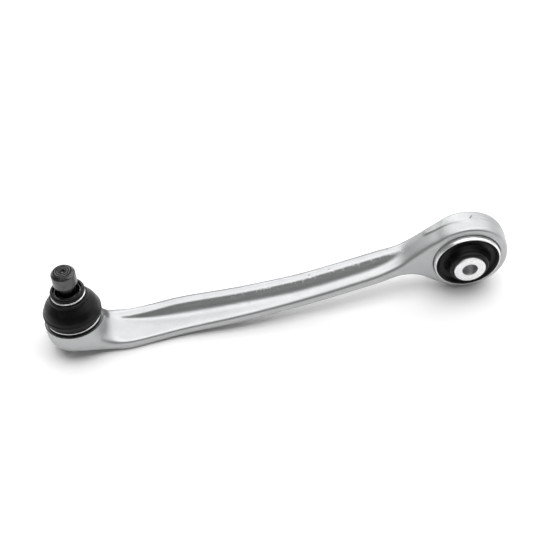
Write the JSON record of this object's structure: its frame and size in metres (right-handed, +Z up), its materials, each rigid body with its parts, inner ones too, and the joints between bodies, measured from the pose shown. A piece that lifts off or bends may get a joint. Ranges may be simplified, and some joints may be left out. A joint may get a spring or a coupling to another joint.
{
  "type": "suspension control arm",
  "caption": "Forged aluminium suspension control arm with a booted ball joint at one end and a rubber-metal bush in an eye at the other.",
  "frame": {"origin": "middle of the bounding box's bottom, on the surface that the arm lies on", "axes": "+X from the ball joint to the bush, +Y along the bush axis, +Z up with the stud pointing up"},
  "size_m": [0.3095, 0.0544, 0.064],
  "materials": {
    "forged_aluminium": "satin shot-blasted forging",
    "stud_steel": "turned and phosphated, dark, with fine machining rings",
    "bearing_polymer": "natural moulded polymer",
    "seal_steel": "dark pressed steel",
    "boot_rubber": "satin black moulded rubber",
    "ring_wire": "bright spring wire",
    "bush_rubber": "semi-matt black rubber",
    "turned_aluminium": "cut and turned, slightly mottled"
  },
  "bodies": {
    "arm": {"arm_forging": "forged_aluminium", "bearing_shell": "bearing_polymer", "closing_ring": "seal_steel", "boot_lower_ring": "ring_wire", "bush_outer_sleeve": "turned_aluminium", "bush_rubber": "bush_rubber"},
    "boot_swing": {"dust_boot": "boot_rubber"},
    "boot_top": {"boot_insert_ring": "seal_steel", "boot_upper_ring": "ring_wire"},
    "stud": {"ball_stud": "stud_steel"},
    "bush_core": {"bush_inner_sleeve": "turned_aluminium"}
  },
  "joints": [
    {"name": "stud_swing", "type": "hinge", "parent": "arm", "child": "boot_swing", "pos_m": [-0.13435, -0.00766, 0.01698], "axis": [0.0116, 0.9941, -0.1074], "range_deg": [-22, 22], "deforming": ["dust_boot"]},
    {"name": "stud_tilt", "type": "hinge", "parent": "boot_swing", "child": "boot_top", "pos_m": [-0.13435, -0.00766, 0.01698], "axis": [0.9942, 0, 0.1077], "range_deg": [-12, 12]},
    {"name": "stud_spin", "type": "hinge", "parent": "boot_top", "child": "stud", "pos_m": [-0.13435, -0.00766, 0.01698], "axis": [-0.107, 0.108, 0.9884], "continuous": true},
    {"name": "bush_torsion", "type": "hinge", "parent": "arm", "child": "bush_core", "pos_m": [0.1263, 0.0082, 0.0284], "axis": [0, -1, 0], "range_deg": [-30, 30], "stiffness_Nm_per_rad": 30}
  ]
}
